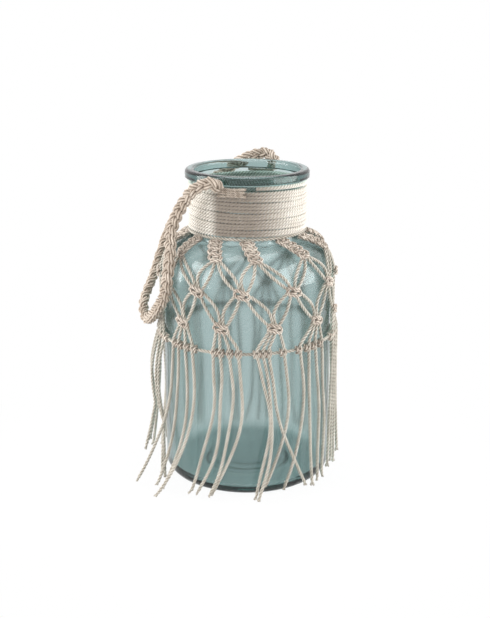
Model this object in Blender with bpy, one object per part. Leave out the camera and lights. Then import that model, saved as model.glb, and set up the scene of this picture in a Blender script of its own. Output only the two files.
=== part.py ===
"""A tall teal glass jar dressed in a knotted cotton net with a fringe, and a plaited rope handle.

The origin is the middle of the jar's underside, +Z is up and -Y is the front. All lengths are in metres.
The net lies on the jar's outside, so its places are given as an angle round the jar and a drop,
the length of glass between them and the top of the shoulder.
"""

import math
from bisect import bisect

import bmesh
import bpy
from mathutils import Vector

# The glass jar: its outside, then its walls. A drop here is a depth below the rim's top
JAR_HEIGHT = 0.281
BODY_RADIUS = 0.076
HEEL_RADIUS = 0.010
SHOULDER_BEND = 0.036
SHOULDER_DROP = 0.094
NECK_INSET = 0.0265
NECK_FILLET = 0.005
BEAD_REACH = 0.0055
BEAD_HEIGHT = 0.008
BEAD_ROUND = 0.0028
WALL = 0.0032
FLOOR_THICKNESS = 0.0065
FLOOR_DOME = 0.0015
GROOVE_RADIUS = 0.036
GROOVE_WIDTH = 0.0035
GROOVE_DEPTH = 0.0014
JAR_STEPS = 40
BEND_STEPS = 6

# The gap between pieces that touch, and how near two points of the turned jar become one
SEAT_GAP = 0.0003
WELD = 0.00001

# The cotton cord of the net and its fringe
CORD_RADIUS = 0.0013
CORD_LIFT = 0.0024
CORD_SIDES = 4

# The twine wound round the neck, from the top turn down
TWINE_RADIUS = 0.00125
TWINE_SEAT = 0.0008
TWINE_PITCH = 0.00296
TWINE_TURNS = 13
TWINE_TOP_DROP = 0.0105
TWINE_SLACK = 0.0012
TWINE_START_DEGREES = 8
TWINE_POINTS = 24

# The ring cord under the winding that carries the net
HEADER_DROP = 0.0021
RING_SIDES = 6
RING_STEPS = 36

# The twelve columns of the net, counted to the right from the front left
COLUMNS = 12
FIRST_COLUMN_DEGREES = -57
TOP_SHIFT_SHARES = (0.13, -0.13, -0.13, 0, 0, -0.03, 0.06, 0, -0.05, 0.04, 0, 0.05)
FOOT_SHIFT_SHARES = (0.04, 0.17, 0.11, 0.42, 0.62, 0.45, 0.4, 0.3, 0.25, 0.3, 0.2, 0.1)
UPPER_SHIFT_SHARES = (0.32, 0.29, 0.38, 0.52, 0.5, 0.45, 0.42, 0.35, 0.3, 0.32, 0.28, 0.3)
LOWER_SHIFT_SHARES = (0.42, 0.36, 0.46, 0.53, 0.52, 0.48, 0.5, 0.42, 0.4, 0.36, 0.38, 0.4)
BAND_SHIFT_SHARES = (0.46, 0.45, 0.36, 0.34, 0.5, 0.47, 0.5, 0.44, 0.42, 0.38, 0.4, 0.42)

# The square-knot columns that hang from the ring cord
SINNET_WIDTH = 0.0100
SINNET_THICKNESS = 0.0050
SINNET_WAIST_SHARE = 0.8
SINNET_KNOTS = 3
SINNET_END_DROP = 0.0315

# The square knots of the net's two rows
KNOT_WIDTH = 0.0125
KNOT_HEIGHT = 0.0085
KNOT_THICKNESS = 0.0052
KNOT_END_SHARE = 0.72
UPPER_DROP = 0.0570
LOWER_DROP = 0.0870
KNOT_SIDES = 6
STRAND_PLACE_SHARES = (-0.37, -0.13, 0.13, 0.37)
STRAND_BOW_SHARES = (-0.3, 0.1, -0.1, 0.3)
STRAND_STEPS = 3

# The band: a ring cord that every strand is hitched to
BAND_DROP = 0.1093
HITCH_RADIUS = 0.0020
HITCH_HEIGHT = 0.0052
HITCH_SPREAD_SHARES = (
    (-0.30, -0.13, 0.07, 0.26),
    (-0.24, -0.10, 0.09, 0.27),
    (-0.27, -0.15, -0.03, 0.29),
    (-0.32, -0.09, 0.10, 0.32),
)

# The fringe below the band
FRINGE_FOOT = 0.0025
FRINGE_SPREAD = 0.010
FRINGE_LAYER = 0.0034
FRINGE_STEPS = 5
FRINGE_SWAY = 0.024
FRINGE_SWAY_SHARES = (
    (-0.75, -0.85, -1.0, -0.9),
    (-0.85, -1.0, -1.15, -1.1),
    (0.1, 0.25, 1.05, -0.55),
    (0.6, -0.75, 0.1, 0.0),
    (0.15, 0.05, -0.1, 0.1),
    (-0.1, 0.2, 0.1, 0.25),
    (0.3, 0.1, 0.05, -0.15),
    (-0.2, 0.15, 0.1, 0.3),
    (0.05, -0.1, 0.2, -0.2),
    (-0.1, -0.25, 0.1, -0.3),
    (-0.2, -0.1, -0.35, -0.3),
    (-0.3, -0.5, -0.6, -0.7),
)

# How far the strands stand off the glass at their feet, by column and by strand
FRINGE_SPLAY = 0.028
COLUMN_SPLAY_SHARES = (0.7, 0.2, 0, 0, 0.05, 0.1, 0.05, 0.1, 0.05, 0.1, 0.3, 0.9)
STRAND_SPLAY_SHARES = (0.25, 0.55, 0.4, 1.0)

# The plaited rope handle, hinged where it leaves the neck. Its route's places are degrees from the front,
# the gap outside the body's radius and the drop below the rim
HANDLE_RADIUS = 0.0045
HANDLE_SEAT = 0.00905
HANDLE_AXIS_DROP = 0.0095
HANDLE_AXIS_DEGREES = -23
HANDLE_POINTS = 44
ROUTE_STEPS = 12
HANDLE_ROUTE = (
    (-25.6, -0.0123, 0.0050),
    (-30.7, -0.0103, 0.0045),
    (-38.4, -0.0084, 0.0085),
    (-44.4, -0.0067, 0.0145),
    (-49.0, -0.0051, 0.0225),
    (-52.7, -0.0025, 0.0310),
    (-55.2, 0.0001, 0.0400),
    (-56.2, 0.0022, 0.0495),
    (-55.2, 0.0038, 0.0595),
    (-53.7, 0.0059, 0.0690),
    (-52.4, 0.0092, 0.0800),
    (-52.2, 0.0113, 0.0915),
    (-55.0, 0.0112, 0.1035),
    (-63.3, 0.0108, 0.1165),
    (-73.5, 0.0121, 0.1290),
    (-83.1, 0.0152, 0.1355),
    (-90.6, 0.0185, 0.1330),
    (-95.7, 0.0195, 0.1245),
    (-101.0, 0.0182, 0.1170),
    (-106.5, 0.0158, 0.1065),
    (-111.3, 0.0147, 0.0955),
    (-115.8, 0.0134, 0.0840),
    (-119.9, 0.0123, 0.0725),
    (-123.7, 0.0105, 0.0620),
    (-127.8, 0.0088, 0.0520),
    (-132.3, 0.0065, 0.0420),
    (-141.6, 0.0012, 0.0310),
    (-152.9, -0.0035, 0.0210),
    (-164.9, -0.0071, 0.0110),
    (-175.8, -0.0083, 0.0035),
    (-186.3, -0.0081, -0.0015),
    (164.2, -0.0079, -0.0030),
    (156.9, -0.0117, 0.0020),
)

# The rope's ends, lashed flat on the winding's top turns
TAIL_HEIGHT = 0.0080
TAIL_THICKNESS = 0.0040
TAIL_DROP = 0.0037
TAIL_TURN_DEGREES = 23
TAIL_OVERLAP_DEGREES = 4
TAIL_STEPS = 6
TAIL_SIDES = 8

GLASS_COLOUR = (0.42, 0.66, 0.69, 1)
COTTON_COLOUR = (0.66, 0.57, 0.47, 1)
ROPE_COLOUR = (0.50, 0.40, 0.31, 1)
TWINE_COLOUR = (0.74, 0.67, 0.58, 1)

NECK_RADIUS = BODY_RADIUS - NECK_INSET
BEAD_RADIUS = NECK_RADIUS + BEAD_REACH
SHOULDER_START = JAR_HEIGHT - SHOULDER_DROP
SPACING = 2 * math.pi / COLUMNS
SHOULDER_CENTRE = BODY_RADIUS - SHOULDER_BEND
SHOULDER_LENGTH = SHOULDER_BEND * math.pi / 2
FILLET_CENTRE = NECK_RADIUS + NECK_FILLET
FILLET_TILT = math.acos((FILLET_CENTRE - SHOULDER_CENTRE) / (SHOULDER_BEND + NECK_FILLET))
NECK_START = SHOULDER_START + (SHOULDER_BEND + NECK_FILLET) * math.sin(FILLET_TILT)
TWINE_RING = NECK_RADIUS + TWINE_SEAT + TWINE_RADIUS
BAND_RING = BODY_RADIUS + TWINE_SEAT + CORD_RADIUS
BAND_HEIGHT = SHOULDER_START + SHOULDER_LENGTH - BAND_DROP
HITCH_LIFT = BAND_RING + CORD_RADIUS + SEAT_GAP + HITCH_RADIUS - BODY_RADIUS
HEADER_RING = NECK_RADIUS + TWINE_SEAT + CORD_RADIUS
TWINE_TOP = JAR_HEIGHT - TWINE_TOP_DROP
HEADER_HEIGHT = TWINE_TOP - TWINE_SLACK - TWINE_PITCH * TWINE_TURNS - TWINE_RADIUS - HEADER_DROP
HANDLE_REACH = TWINE_RING + HANDLE_SEAT
HANDLE_AXIS_HEIGHT = JAR_HEIGHT - HANDLE_AXIS_DROP


def clear_scene():
    for old in list(bpy.data.objects):
        bpy.data.objects.remove(old)


def material(name, colour, roughness, transmission=0):
    made = bpy.data.materials.new(name)
    made.use_nodes = True
    shader = made.node_tree.nodes["Principled BSDF"]
    shader.inputs["Base Color"].default_value = colour
    shader.inputs["Roughness"].default_value = roughness
    shader.inputs["Metallic"].default_value = 0
    shader.inputs["Transmission Weight"].default_value = transmission
    return made


def placed(name, mesh, finish):
    mesh.shade_smooth()
    mesh.set_sharp_from_angle(angle=math.radians(50))
    made = bpy.data.objects.new(name, mesh)
    made.data.materials.append(finish)
    bpy.context.scene.collection.objects.link(made)
    return made


def arc(centre_out, centre_up, radius, start, end, steps=BEND_STEPS):
    """Points of an arc in the half plane (out, up), from one angle to another."""
    turns = [start + (end - start) * i / steps for i in range(steps + 1)]
    return [(centre_out + radius * math.cos(t), centre_up + radius * math.sin(t)) for t in turns]


def jar_profile():
    """Up the inside from the floor's middle, over the bead, and down the outside to the underside."""
    quarter = math.pi / 2
    inner_heel = HEEL_RADIUS - WALL
    inner_bend = SHOULDER_BEND - WALL
    inside = [(0, FLOOR_THICKNESS + FLOOR_DOME), (GROOVE_RADIUS, FLOOR_THICKNESS + FLOOR_DOME / 2)]
    inside += arc(BODY_RADIUS - HEEL_RADIUS, FLOOR_THICKNESS + inner_heel, inner_heel, -quarter, 0, 3)
    inside += arc(SHOULDER_CENTRE, SHOULDER_START, inner_bend, 0, FILLET_TILT, 4)
    inside += arc(FILLET_CENTRE, NECK_START, NECK_FILLET + WALL, math.pi + FILLET_TILT, math.pi, 2)[1:]
    bead_top = JAR_HEIGHT - BEAD_ROUND
    bead_foot = JAR_HEIGHT - BEAD_HEIGHT
    inside += arc(NECK_RADIUS - WALL + BEAD_ROUND, bead_top, BEAD_ROUND, math.pi, quarter, 3)
    outside = arc(BEAD_RADIUS - BEAD_ROUND, bead_top, BEAD_ROUND, quarter, 0, 3)
    foot_round = BEAD_ROUND / 2
    outside += arc(BEAD_RADIUS - foot_round, bead_foot + foot_round, foot_round, 0, -quarter, 2)
    outside += [(NECK_RADIUS, bead_foot)]
    outside += arc(FILLET_CENTRE, NECK_START, NECK_FILLET, math.pi, math.pi + FILLET_TILT, 3)
    outside += arc(SHOULDER_CENTRE, SHOULDER_START, SHOULDER_BEND, FILLET_TILT, 0)[1:]
    outside += arc(BODY_RADIUS - HEEL_RADIUS, HEEL_RADIUS, HEEL_RADIUS, 0, -quarter, 4)
    groove_middle = GROOVE_RADIUS + GROOVE_WIDTH / 2
    underside = [(GROOVE_RADIUS + GROOVE_WIDTH, 0), (groove_middle, GROOVE_DEPTH), (GROOVE_RADIUS, 0), (0, 0)]
    return inside + outside + underside


def glass_jar(finish):
    """One blown and pressed piece, turned about the jar's axis."""
    mesh = bpy.data.meshes.new("glass_jar")
    points = [(out, 0, up) for out, up in jar_profile()]
    mesh.from_pydata(points, [(i, i + 1) for i in range(len(points) - 1)], [])
    jar = placed("glass_jar", mesh, finish)
    turned = jar.modifiers.new("turned", "SCREW")
    turned.axis = "Z"
    turned.steps = JAR_STEPS
    turned.render_steps = JAR_STEPS
    turned.use_merge_vertices = True
    turned.merge_threshold = WELD
    turned.use_smooth_shade = True
    return jar


def around(angle, out, up):
    """A point at an angle round the jar, from the front to the right, at a distance from its axis."""
    return Vector((out * math.sin(angle), -out * math.cos(angle), up))


def on_glass(angle, drop, lift):
    """A point held off the glass, and the glass's normal there."""
    if drop < SHOULDER_LENGTH:
        tilt = math.pi / 2 - drop / SHOULDER_BEND
        normal = around(angle, math.cos(tilt), math.sin(tilt))
        return around(angle, SHOULDER_CENTRE, SHOULDER_START) + normal * (SHOULDER_BEND + lift), normal
    height = SHOULDER_START + SHOULDER_LENGTH - drop
    return around(angle, BODY_RADIUS + lift, height), around(angle, 1, 0)


def section(centre, along, normal, half_width, half_thickness, sides):
    """A closed ring of points round a centre, wide across the normal and thin along it."""
    across = along.cross(normal).normalized()
    upright = across.cross(along).normalized()
    turns = [2 * math.pi * i / sides for i in range(sides)]
    across, upright = across * half_width, upright * half_thickness
    return [centre + across * math.sin(t) + upright * math.cos(t) for t in turns]


def loft(name, rings, finish, closed=False):
    """A skin over rings of as many points each, with flat ends unless it closes on itself."""
    mesh = bmesh.new()
    rows = [[mesh.verts.new(point) for point in ring] for ring in rings]
    sides = len(rows[0])
    pairs = list(zip(rows, rows[1:] + rows[:1])) if closed else list(zip(rows, rows[1:]))
    for first, second in pairs:
        for i in range(sides):
            j = (i + 1) % sides
            mesh.faces.new((first[i], first[j], second[j], second[i]))
    if not closed:
        mesh.faces.new(rows[0])
        mesh.faces.new(rows[-1])
    bmesh.ops.recalc_face_normals(mesh, faces=mesh.faces)
    made = bpy.data.meshes.new(name)
    mesh.to_mesh(made)
    mesh.free()
    return placed(name, made, finish)


def directions(points):
    """The unit direction of a line at each of its points."""
    before = [points[0]] + points[:-1]
    after = points[1:] + [points[-1]]
    return [(b - a).normalized() for a, b in zip(before, after)]


def cord(name, places, radii, finish, sides=CORD_SIDES):
    """A cord through (point, normal) places, with a radius at each."""
    points = [place for place, _ in places]
    rings = [
        section(point, along, normal, radius, radius, sides)
        for (point, normal), along, radius in zip(places, directions(points), radii)
    ]
    return loft(name, rings, finish)


def tube(name, points, radius, resolution, finish):
    """A round cord as a curve with a bevel and filled ends."""
    data = bpy.data.curves.new(name, "CURVE")
    data.dimensions = "3D"
    data.bevel_depth = radius
    data.bevel_resolution = resolution
    data.use_fill_caps = True
    spline = data.splines.new("POLY")
    spline.points.add(len(points) - 1)
    for place, point in zip(spline.points, points):
        place.co = (*point, 1)
    data.materials.append(finish)
    made = bpy.data.objects.new(name, data)
    bpy.context.scene.collection.objects.link(made)
    return made


def fused(body, additions):
    """Joins closed solids to a body that they run into. The exact solver drops some of these unions."""
    for extra in additions:
        join = body.modifiers.new("join", "BOOLEAN")
        join.operation = "UNION"
        join.solver = "MANIFOLD"
        join.object = extra
    graph = bpy.context.evaluated_depsgraph_get()
    made = bpy.data.meshes.new_from_object(body.evaluated_get(graph))
    body.modifiers.clear()
    body.data = made
    for extra in additions:
        bpy.data.objects.remove(extra)
    return body


def ring_cord(name, ring_radius, height, radius, finish):
    """A cord tied into a level ring round the jar."""
    rings = []
    for i in range(RING_STEPS):
        t = 2 * math.pi * i / RING_STEPS
        along = around(t + math.pi / 2, 1, 0)
        place = around(t, ring_radius, height)
        rings.append(section(place, along, around(t, 1, 0), radius, radius, RING_SIDES))
    return loft(name, rings, finish, closed=True)


def twine_points():
    """The winding's middle line, from its loose top turn down to its last."""
    points = []
    for i in range(TWINE_TURNS * TWINE_POINTS + 1):
        turn = i / TWINE_POINTS
        angle = math.radians(TWINE_START_DEGREES) + 2 * math.pi * turn
        slack = TWINE_SLACK * min(1, turn)
        points.append(around(angle, TWINE_RING, TWINE_TOP - slack - TWINE_PITCH * turn))
    ends = directions(points)
    first = points[0] - ends[0] * 2 * TWINE_RADIUS
    last = points[-1] + ends[-1] * 2 * TWINE_RADIUS
    return [first] + points + [last]


def least_gap(points, radius, apart):
    """The narrowest gap of a tube to itself between points that lie apart along it."""
    nearest = min((p - q).length for i, p in enumerate(points) for q in points[i + apart :])
    return nearest - 2 * radius


def neck_winding(finish):
    """One unbroken length of twine, laid turn under turn."""
    points = twine_points()
    gap = least_gap(points, TWINE_RADIUS, TWINE_POINTS // 2)
    print(f"neck_winding: {TWINE_TURNS} turns, least gap to itself {gap * 1000:.2f} mm")
    return tube("neck_winding", points, TWINE_RADIUS, 1, finish)


def column_angle(column, shift_share):
    return math.radians(FIRST_COLUMN_DEGREES) + (column + shift_share) * SPACING


def sinnet_place(column, share):
    """Where a square-knot column runs: its angle and drop, from its top at 0 to its foot at 1."""
    header_out = HEADER_RING - SHOULDER_CENTRE
    header_up = HEADER_HEIGHT - SHOULDER_START
    seat = (CORD_RADIUS + SEAT_GAP) / math.hypot(header_out, header_up)
    top_drop = SHOULDER_BEND * (math.pi / 2 - math.atan2(header_up, header_out) + math.asin(seat))
    top = column_angle(column, TOP_SHIFT_SHARES[column])
    foot = column_angle(column, FOOT_SHIFT_SHARES[column])
    return top + (foot - top) * share, top_drop + (SINNET_END_DROP - top_drop) * share


def upper_place(column):
    """The upper knot between this column and the next."""
    return column_angle(column + 1 / 2, UPPER_SHIFT_SHARES[column]), UPPER_DROP


def lower_place(column):
    return column_angle(column, LOWER_SHIFT_SHARES[column]), LOWER_DROP


def strand_start(angle, drop, width, strand):
    """A strand's angle where it leaves or enters a knot of that width."""
    out = on_glass(angle, drop, CORD_LIFT)[0].xy.length
    return angle + width * STRAND_PLACE_SHARES[strand] / out


def net_strand(start, end, bow):
    """A strand over the glass between two (angle, drop) places, bowed to one side."""
    places = []
    for i in range(STRAND_STEPS + 1):
        share = i / STRAND_STEPS
        angle = start[0] + (end[0] - start[0]) * share + bow * math.sin(math.pi * share)
        places.append(on_glass(angle, start[1] + (end[1] - start[1]) * share, CORD_LIFT))
    return cord("strand", places, [CORD_RADIUS] * len(places), None)


def strands_down(angle, drop, half_height, width, left, right):
    """The four strands from a knot's foot to the tops of the next knots on its left and right."""
    made = []
    for strand, target in enumerate((left, left, right, right)):
        start = (strand_start(angle, drop, width, strand), drop + half_height - 2 * CORD_RADIUS)
        other = (strand + 2) % 4
        top_drop = target[1] - KNOT_HEIGHT / 2 - SEAT_GAP - CORD_RADIUS
        end = (strand_start(*target, KNOT_WIDTH, other), top_drop)
        bow = STRAND_BOW_SHARES[strand] * KNOT_WIDTH / BODY_RADIUS
        made.append(net_strand(start, end, bow))
    return made


def sinnet(column, finish):
    """A short column of square knots, with the four strands that leave its foot."""
    rings = []
    steps = 2 * SINNET_KNOTS
    lift = SEAT_GAP + SINNET_THICKNESS / 2
    points = [on_glass(*sinnet_place(column, i / steps), lift) for i in range(steps + 1)]
    ways = directions([point for point, _ in points])
    for i, ((point, normal), along) in enumerate(zip(points, ways)):
        share = 1 if i % 2 else SINNET_WAIST_SHARE
        half_width = SINNET_WIDTH * share / 2
        rings.append(section(point, along, normal, half_width, SINNET_THICKNESS * share / 2, KNOT_SIDES))
    body = loft(f"sinnet_{column + 1:02d}", rings, finish)
    angle, drop = sinnet_place(column, 1)
    left = upper_place((column - 1) % COLUMNS)
    right = upper_place(column)
    if column == 0:
        left = (left[0] - 2 * math.pi, left[1])
    return fused(body, strands_down(angle, drop, 0, SINNET_WIDTH, left, right))


def knot(name, place, finish):
    """A square knot: a rounded lump on the glass."""
    angle, drop = place
    rings = []
    for share, width_share in ((-1, KNOT_END_SHARE), (-0.4, 1), (0.4, 1), (1, KNOT_END_SHARE)):
        ring_drop = drop + KNOT_HEIGHT / 2 * share
        point, normal = on_glass(angle, ring_drop, SEAT_GAP + CORD_RADIUS / 4 + KNOT_THICKNESS / 2)
        along = on_glass(angle, ring_drop + CORD_RADIUS, 0)[0] - on_glass(angle, ring_drop, 0)[0]
        half_width = KNOT_WIDTH * width_share / 2
        half_thickness = KNOT_THICKNESS * width_share / 2
        rings.append(section(point, along.normalized(), normal, half_width, half_thickness, KNOT_SIDES))
    return loft(name, rings, finish)


def upper_knot(column, finish):
    angle, drop = upper_place(column)
    right = lower_place((column + 1) % COLUMNS)
    if column == COLUMNS - 1:
        right = (right[0] + 2 * math.pi, right[1])
    body = knot(f"upper_knot_{column + 1:02d}", (angle, drop), finish)
    strands = strands_down(angle, drop, KNOT_HEIGHT / 2, KNOT_WIDTH, lower_place(column), right)
    return fused(body, strands)


def hitch_angle(column, strand):
    spread = HITCH_SPREAD_SHARES[column % len(HITCH_SPREAD_SHARES)][strand]
    return column_angle(column + spread, BAND_SHIFT_SHARES[column])


def hanging_strand(column, strand):
    """A strand from a lower knot, hitched over the band cord, then hanging free as fringe."""
    sway = FRINGE_SWAY_SHARES[column][strand]
    splay = FRINGE_SPLAY * COLUMN_SPLAY_SHARES[column] * STRAND_SPLAY_SHARES[strand]
    foot_share = (5 * strand + 3 * column) % 7 / 7
    angle, drop = lower_place(column)
    start = (strand_start(angle, drop, KNOT_WIDTH, strand), drop + KNOT_HEIGHT / 2 - 2 * CORD_RADIUS)
    hitch = hitch_angle(column, strand)
    above = BAND_DROP - HITCH_HEIGHT / 2
    below = BAND_DROP + HITCH_HEIGHT / 2
    places = [on_glass(*start, CORD_LIFT)]
    places.append(on_glass((start[0] + hitch) / 2, (start[1] + above) / 2, (CORD_LIFT + HITCH_LIFT) / 2))
    places += [on_glass(hitch, d, HITCH_LIFT) for d in (above, BAND_DROP, below)]
    radii = [CORD_RADIUS, CORD_RADIUS, CORD_RADIUS, HITCH_RADIUS, CORD_RADIUS]
    layer = HITCH_LIFT + FRINGE_LAYER * (strand % 2)
    foot_drop = SHOULDER_START + SHOULDER_LENGTH - FRINGE_FOOT - FRINGE_SPREAD * foot_share
    for i in range(1, FRINGE_STEPS + 1):
        share = i / FRINGE_STEPS
        lean = sway * FRINGE_SWAY / BODY_RADIUS * share * share
        lift = HITCH_LIFT + (layer - HITCH_LIFT) * min(1, 2 * share) + splay * share**2
        places.append(on_glass(hitch + lean, below + (foot_drop - below) * share, lift))
        radii.append(CORD_RADIUS)
    return cord("strand", places, radii, None)


def tassel(column, finish):
    """A lower knot with its four strands, each one cord down to the fringe's end."""
    body = knot(f"tassel_{column + 1:02d}", lower_place(column), finish)
    return fused(body, [hanging_strand(column, i) for i in range(4)])


def smooth_route(route, count):
    """Points spaced evenly along a smooth curve through a route's own points."""
    padded = [2 * route[0] - route[1]] + route + [2 * route[-1] - route[-2]]
    fine = []
    for a, b, c, d in zip(padded, padded[1:], padded[2:], padded[3:]):
        for i in range(ROUTE_STEPS):
            t = i / ROUTE_STEPS
            bend = (2 * a - 5 * b + 4 * c - d) * t**2 + (3 * b - a - 3 * c + d) * t**3
            fine.append((2 * b + (c - a) * t + bend) / 2)
    fine.append(route[-1])
    lengths = [0]
    for p, q in zip(fine, fine[1:]):
        lengths.append(lengths[-1] + (q - p).length)
    spaced = [fine[0]]
    for i in range(1, count - 1):
        wanted = lengths[-1] * i / (count - 1)
        k = bisect(lengths, wanted) - 1
        share = (wanted - lengths[k]) / (lengths[k + 1] - lengths[k])
        spaced.append(fine[k].lerp(fine[k + 1], share))
    return spaced + [fine[-1]]


def rope_handle(finish):
    """The rope, from its front end round the left shoulder to its end behind."""
    turn = math.radians(HANDLE_AXIS_DEGREES)
    hinge = bpy.data.objects.new("handle_hinge", None)
    hinge.location = around(turn, 0, HANDLE_AXIS_HEIGHT)
    bpy.context.scene.collection.objects.link(hinge)
    front = around(turn, HANDLE_REACH, HANDLE_AXIS_HEIGHT)
    back = around(turn + math.pi, HANDLE_REACH, HANDLE_AXIS_HEIGHT)
    places = [
        around(math.radians(degrees), BODY_RADIUS + gap, JAR_HEIGHT - drop)
        for degrees, gap, drop in HANDLE_ROUTE
    ]
    route = smooth_route([front] + places + [back], HANDLE_POINTS)
    handle = tube("rope_handle", [point - hinge.location for point in route], HANDLE_RADIUS, 2, finish)
    handle.parent = hinge
    return handle


def handle_tail(name, turn_degrees, finish):
    """The rope's flat end, lashed along the winding's top turns under the place where the handle leaves."""
    start = math.radians(turn_degrees - TAIL_OVERLAP_DEGREES)
    end = math.radians(turn_degrees + TAIL_TURN_DEGREES)
    out = TWINE_RING + TWINE_RADIUS + SEAT_GAP + TAIL_THICKNESS / 2
    height = HANDLE_AXIS_HEIGHT - TAIL_DROP
    rings = []
    for i in range(TAIL_STEPS + 1):
        t = start + (end - start) * i / TAIL_STEPS
        along = around(t + math.pi / 2, 1, 0)
        flat = (TAIL_HEIGHT / 2, TAIL_THICKNESS / 2, TAIL_SIDES)
        rings.append(section(around(t, out, height), along, around(t, 1, 0), *flat))
    return loft(name, rings, finish)


clear_scene()
glass = material("teal_glass", GLASS_COLOUR, 0.03, transmission=1)
cotton = material("natural_cotton", COTTON_COLOUR, 0.9)
rope = material("plaited_rope", ROPE_COLOUR, 0.9)
twine = material("pale_twine", TWINE_COLOUR, 0.9)
glass_jar(glass)
neck_winding(twine)
ring_cord("header_cord", HEADER_RING, HEADER_HEIGHT, CORD_RADIUS, cotton)
ring_cord("band_cord", BAND_RING, BAND_HEIGHT, CORD_RADIUS, cotton)
for number in range(COLUMNS):
    sinnet(number, cotton)
    upper_knot(number, cotton)
    tassel(number, cotton)
rope_handle(rope)
handle_tail("handle_tail_front", HANDLE_AXIS_DEGREES, rope)
handle_tail("handle_tail_back", HANDLE_AXIS_DEGREES + 180, rope)
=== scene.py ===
"""The looks of a teal glass jar in a knotted cotton net with a fringe and a plaited rope handle."""

import math
from random import Random

import bpy
import numpy as np
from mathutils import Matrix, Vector


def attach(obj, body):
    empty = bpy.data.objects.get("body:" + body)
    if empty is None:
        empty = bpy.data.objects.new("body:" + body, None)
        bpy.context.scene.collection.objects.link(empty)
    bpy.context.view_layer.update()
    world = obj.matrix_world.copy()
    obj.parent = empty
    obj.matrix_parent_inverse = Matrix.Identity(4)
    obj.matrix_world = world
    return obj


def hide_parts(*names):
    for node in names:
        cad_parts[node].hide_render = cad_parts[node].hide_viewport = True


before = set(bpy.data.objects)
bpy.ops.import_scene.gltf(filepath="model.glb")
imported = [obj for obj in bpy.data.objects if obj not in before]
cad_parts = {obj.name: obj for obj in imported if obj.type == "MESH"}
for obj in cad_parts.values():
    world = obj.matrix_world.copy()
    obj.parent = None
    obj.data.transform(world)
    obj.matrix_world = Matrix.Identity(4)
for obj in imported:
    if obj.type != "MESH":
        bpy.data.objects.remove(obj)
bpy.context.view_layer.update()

# Camera: stands before the jar at the height of a seated viewer, looking a little down, with a
# short telephoto lens. The frame is taller than wide, so the sensor's long side runs upright.
CAMERA_PLACE = (-0.00197, -0.9022, 0.424)
CAMERA_TILT_DEGREES = 16.84
CAMERA_LENS = 60.0
SENSOR = 36.0
CAMERA_REACH = 400
camera_data = bpy.data.cameras.new("camera")
camera_data.lens = CAMERA_LENS
camera_data.sensor_width = SENSOR
camera_data.clip_end = CAMERA_REACH
camera = bpy.data.objects.new("camera", camera_data)
camera.location = CAMERA_PLACE
camera.rotation_euler = (math.radians(90 - CAMERA_TILT_DEGREES), 0, 0)
bpy.context.scene.collection.objects.link(camera)
bpy.context.scene.camera = camera

# Rope handle: three strands of undyed rope in a plain plait, each strand laid from five yarns.
# It leaves the winding at the front, lies over the left shoulder and comes back to the rim behind.
STRAND_RADIUS = 0.0029
STRAND_LAY = 0.034
PLAIT_LENGTH = 0.0245
PLAIT_SIDE = 0.0028
PLAIT_DEPTH = 0.0018
PLAIT_FACING = (0, -0.6, 0)
PLAIT_STEP = 0.001
ROPE_YARNS = 5
ROPE_GROOVE = 0.34
ROPE_SPACING = 0.0008
JAR_HEIGHT = 0.281
BODY_RADIUS = 0.076
HANDLE_REACH = 0.0606
HANDLE_AXIS_DROP = 0.0095
HANDLE_AXIS_DEGREES = -23
HANDLE_ROUTE = (
    (-25.6, -0.0123, 0.0050),
    (-30.7, -0.0103, 0.0045),
    (-38.4, -0.0084, 0.0085),
    (-44.4, -0.0067, 0.0145),
    (-49.0, -0.0051, 0.0225),
    (-52.7, -0.0025, 0.0310),
    (-55.2, 0.0001, 0.0400),
    (-56.2, 0.0022, 0.0495),
    (-55.2, 0.0038, 0.0595),
    (-53.7, 0.0059, 0.0690),
    (-52.4, 0.0092, 0.0800),
    (-52.2, 0.0113, 0.0915),
    (-55.0, 0.0112, 0.1035),
    (-63.3, 0.0108, 0.1165),
    (-73.5, 0.0121, 0.1290),
    (-83.1, 0.0152, 0.1355),
    (-90.6, 0.0185, 0.1330),
    (-95.7, 0.0195, 0.1245),
    (-101.0, 0.0182, 0.1170),
    (-106.5, 0.0158, 0.1065),
    (-111.3, 0.0147, 0.0955),
    (-115.8, 0.0134, 0.0840),
    (-119.9, 0.0123, 0.0725),
    (-123.7, 0.0105, 0.0620),
    (-127.8, 0.0088, 0.0520),
    (-132.3, 0.0065, 0.0420),
    (-141.6, 0.0012, 0.0310),
    (-152.9, -0.0035, 0.0210),
    (-164.9, -0.0071, 0.0110),
    (-175.8, -0.0083, 0.0035),
    (-186.3, -0.0081, -0.0015),
    (164.2, -0.0079, -0.0030),
    (156.9, -0.0117, 0.0020),
)
ROPE_LIGHT = (0.67, 0.585, 0.50, 1)
ROPE_DARK = (0.24, 0.175, 0.12, 1)
ROPE_FLECK = 0.6
STREAK_ALONG = 300
STREAK_ROUND = 22
BROAD_SCALE = 70
FLECK_SCALE = 260
FUZZ_SCALE = 2400
FUZZ_STRENGTH = 0.6
FUZZ_DEPTH = 0.0003
CREASE_SHADOW_SHARES = (0.4, 0.36, 0.32)
# Where the painted shade on a piece's front fades out towards the back, and how far it darkens.
FRONT_SHADE_EDGE = -0.03
FRONT_SHADE_SHARE = 0.9
THINNED_END_SHARE = 0.35


class Number:
    """A number socket that Python's operators work on, each adding its Math node."""

    def __init__(self, finish, socket):
        self.finish = finish
        self.socket = socket

    def maths(self, operation, first, second):
        node = self.finish.add("ShaderNodeMath", {"operation": operation}, {0: first, 1: second})
        return Number(self.finish, node.outputs[0])

    def __add__(self, other):
        return self.maths("ADD", self, other)

    __radd__ = __add__

    def __mul__(self, other):
        return self.maths("MULTIPLY", self, other)

    __rmul__ = __mul__

    def __sub__(self, other):
        return self.maths("SUBTRACT", self, other)

    def __rsub__(self, other):
        return self.maths("SUBTRACT", other, self)

    def __pow__(self, other):
        return self.maths("POWER", self, other)


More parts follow.
